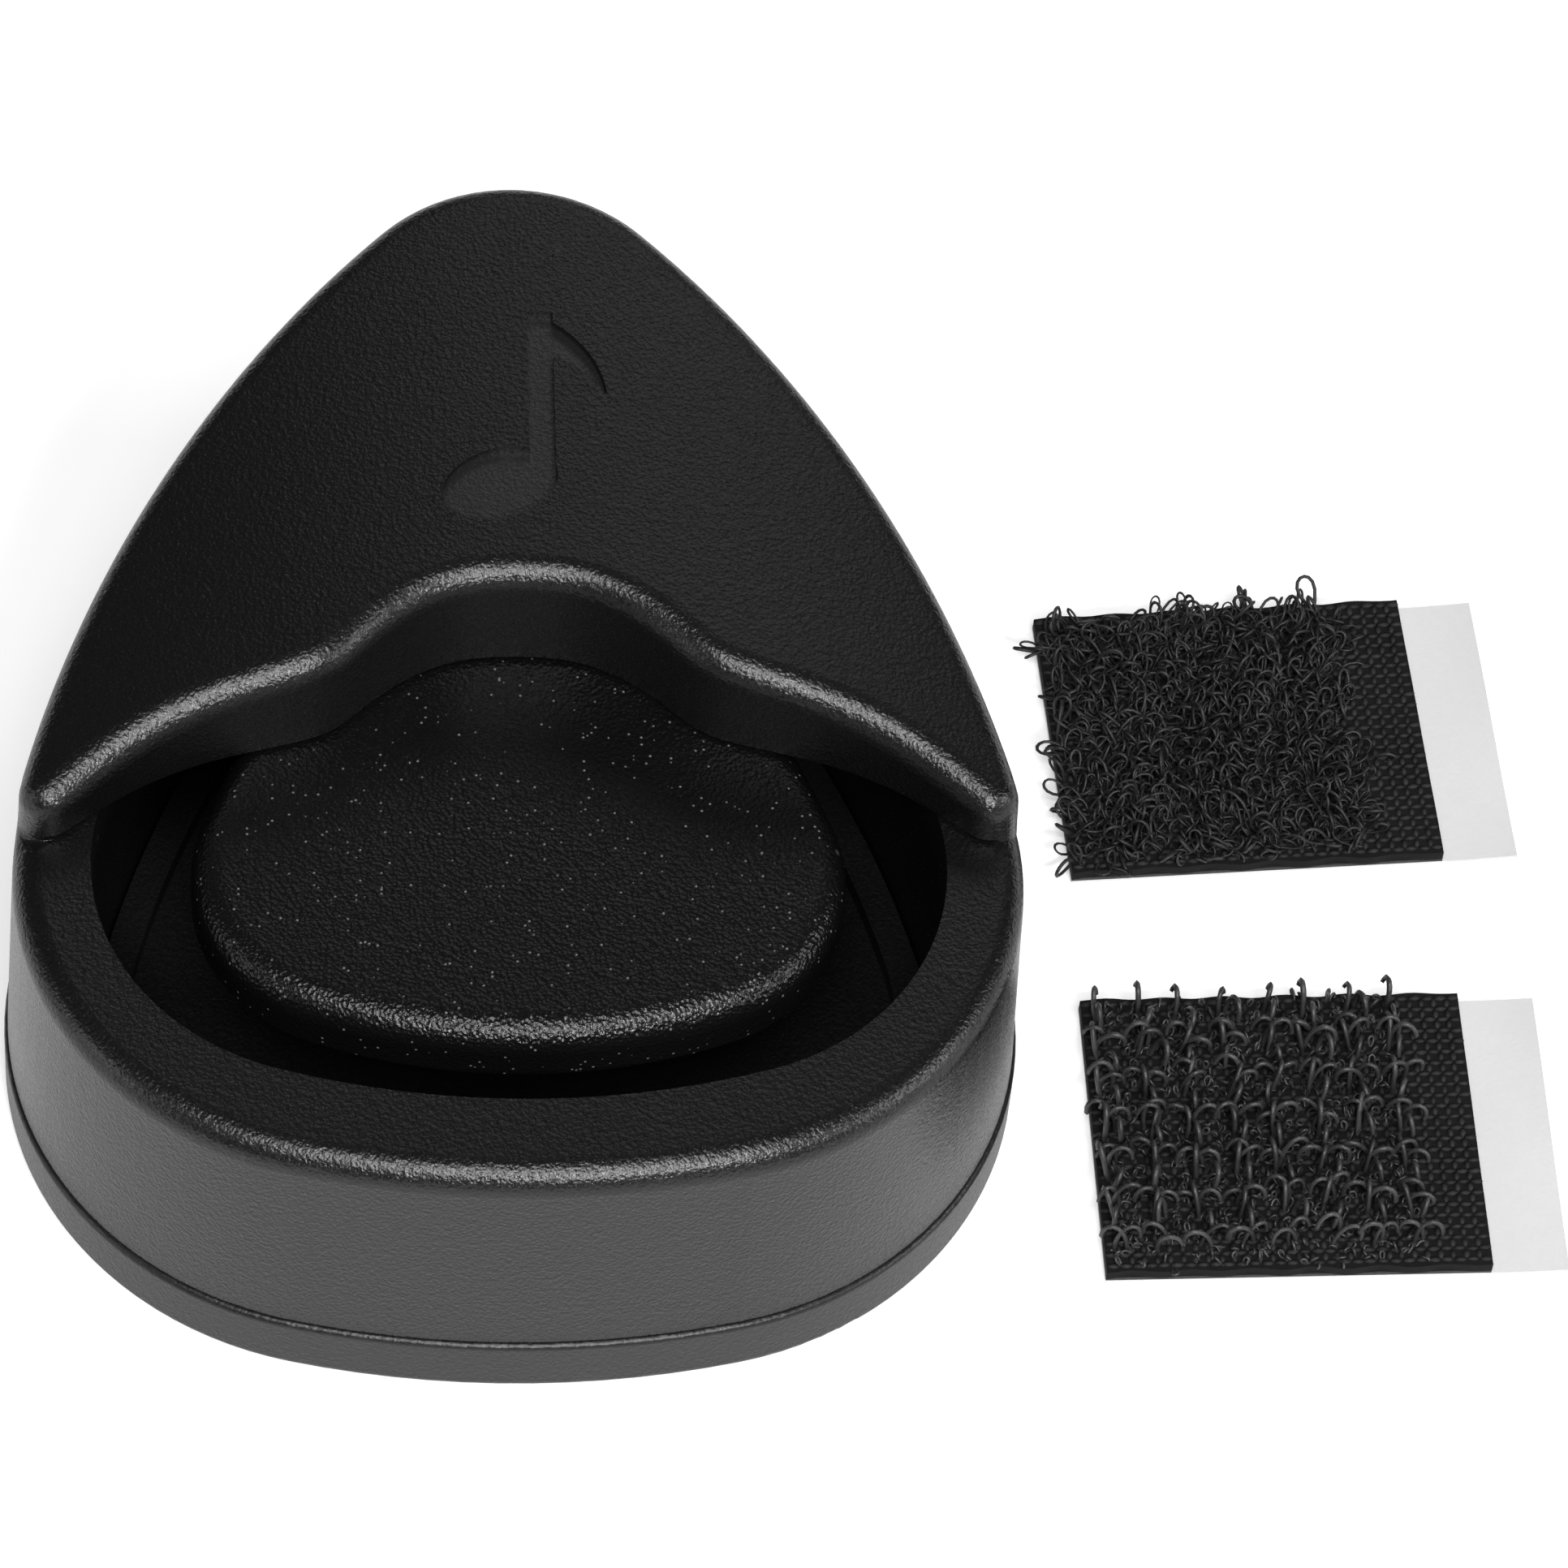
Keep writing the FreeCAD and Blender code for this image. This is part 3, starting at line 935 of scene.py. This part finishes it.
print("loop faces:", len(loops.data.polygons))

# %% [markdown]
# ## The paper liners
# A strip of coated paper protects the glue of each tape and shows past its right edge.
# Paper never lies quite flat, and a dead flat one looks like card. The same slab tool as
# for the cloth is used, with a bend that lifts the free edge a little.

# %% The paper liners
LINER_PAST = 2.75 * MM       # how far the paper shows past the woven edge
LINER_LIFT = 0.12 * MM


def liner_bend(free):
    """Lifts the paper to the right of x = free, a little more towards the back."""
    def bend(x, y, side):
        lift = max(0.0, x - free) / LINER_PAST
        return 0.0, 0.0, LINER_LIFT * lift * lift * (1 + 0.5 * math.sin(y / MM * 0.5))

    return bend


for kind, tape in TAPES.items():
    half = tape.width / 2
    liner = slab(
        f"{kind}_paper", tape, (-half, half + LINER_PAST), 0.0, tape.liner_top,
        liner_bend(half), cells=(32, 20),
    )
    finish_piece(liner, f"{kind}_backing", LINER, f"{kind}_liner")
    print(kind, "liner faces:", len(liner.data.polygons))

# %% [markdown]
# ## The floor
# The holder stands on a plain pale floor. A white world alone would leave it floating, so
# there is a real floor that catches shadows. The side lights throw long grey shadows on
# it, so the floor also glows a little. A Light Path node shows the glow to the camera
# alone: it clears the long shadows and lights nothing.

# %% The floor
FLOOR_SIZE, FLOOR_Z = 6.0, -0.0002      # just below the pieces, in metres
FLOOR_GLOW = 0.35
bpy.ops.mesh.primitive_plane_add(size=FLOOR_SIZE, location=(0, 0, FLOOR_Z))
floor = bpy.context.object
floor.name = "floor"
pale, tree, bsdf, place = material("pale floor")
bsdf.inputs["Base Color"].default_value = (0.9, 0.9, 0.9, 1)
bsdf.inputs["Roughness"].default_value = 0.9
bsdf.inputs["Emission Color"].default_value = (1, 1, 1, 1)
seen = add(tree, "ShaderNodeLightPath").outputs["Is Camera Ray"]
glow = math_node(tree, "MULTIPLY", seen, FLOOR_GLOW)
tree.links.new(glow, bsdf.inputs["Emission Strength"])
floor.data.materials.append(pale)
print("floor ready")

# %% [markdown]
# ## The lights
# On black plastic only reflections show the shape. One big lamp would leave it flat, so
# five share the work. A small softbox in front draws the thin bright lines along the
# rounded edges. A larger light high in front lifts the flat tops, a fill on each side
# brightens the curved wall, and a weak light behind keeps the back of the hood from going
# quite black. The world is nearly dark, because a bright one would turn black to grey.

# %% The lights
LIGHTS_AIM = Vector((0, 0, 0.008))
LIGHTS = (
    # name, azimuth, elevation, distance, size, watts
    ("front softbox", 14, 40, 0.7, (0.2, 0.06), 3.2),
    ("high key", -5, 62, 0.9, (0.4, 0.3), 5.3),
    ("left fill", -75, 20, 0.9, (0.4, 0.3), 1.1),
    ("right fill", 72, 24, 0.9, (0.4, 0.3), 2.8),
    ("back light", 165, 40, 0.9, (0.6, 0.3), 0.55),
)
WORLD_STRENGTH = 0.05


def from_in_front(azimuth, elevation):
    """A direction. Azimuth 0 is straight in front, positive to the right, in radians."""
    flat = math.cos(elevation)
    return Vector((math.sin(azimuth) * flat, -math.cos(azimuth) * flat, math.sin(elevation)))


for name, azimuth, elevation, distance, size, watts in LIGHTS:
    lamp = bpy.data.lights.new(name, "AREA")
    lamp.shape = "RECTANGLE"
    lamp.size, lamp.size_y = size
    lamp.energy = watts
    light = bpy.data.objects.new(name, lamp)
    towards = from_in_front(math.radians(azimuth), math.radians(elevation))
    light.location = LIGHTS_AIM + distance * towards
    light.rotation_euler = (-towards).to_track_quat("-Z", "Y").to_euler()
    bpy.context.collection.objects.link(light)

world = bpy.data.worlds.new("studio")
world.use_nodes = True
world.node_tree.nodes["Background"].inputs["Color"].default_value = (1, 1, 1, 1)
world.node_tree.nodes["Background"].inputs["Strength"].default_value = WORLD_STRENGTH
bpy.context.scene.world = world
bpy.context.scene.view_settings.view_transform = "Standard"

# %% [markdown]
# ## The camera
# The holder is seen from above and in front, and the camera is rolled by a few degrees. A
# short lens close by would make the front loom, so the lens is a long one. It is shifted
# instead of the camera turned, which sets the holder to the left of the frame and leaves
# room for the tapes without changing how it is seen.

# %% The camera
ELEVATION, AZIMUTH, ROLL = math.radians(55.0), math.radians(-3.4), math.radians(-3.0)
DISTANCE, AIM = 0.28, Vector((0, -0.0023, 0.006))
FOCAL_LENGTH, SENSOR_WIDTH = 183.65, 36.0
SHIFT = (0.1734, 0.056)
NEAREST = 0.01

back = from_in_front(AZIMUTH, ELEVATION)
level = Vector((math.cos(AZIMUTH), math.sin(AZIMUTH), 0))
upright = back.cross(level)
right = level * math.cos(ROLL) - upright * math.sin(ROLL)
up = level * math.sin(ROLL) + upright * math.cos(ROLL)
lens = bpy.data.cameras.new("camera")
lens.lens = FOCAL_LENGTH
lens.sensor_width = SENSOR_WIDTH
lens.shift_x, lens.shift_y = SHIFT
lens.clip_start = NEAREST
camera = bpy.data.objects.new("camera", lens)
turned = Matrix((right, up, back)).transposed().to_4x4()
camera.matrix_world = Matrix.Translation(AIM + DISTANCE * back) @ turned
bpy.context.collection.objects.link(camera)
bpy.context.scene.camera = camera
print("camera at", [round(c, 3) for c in camera.location])
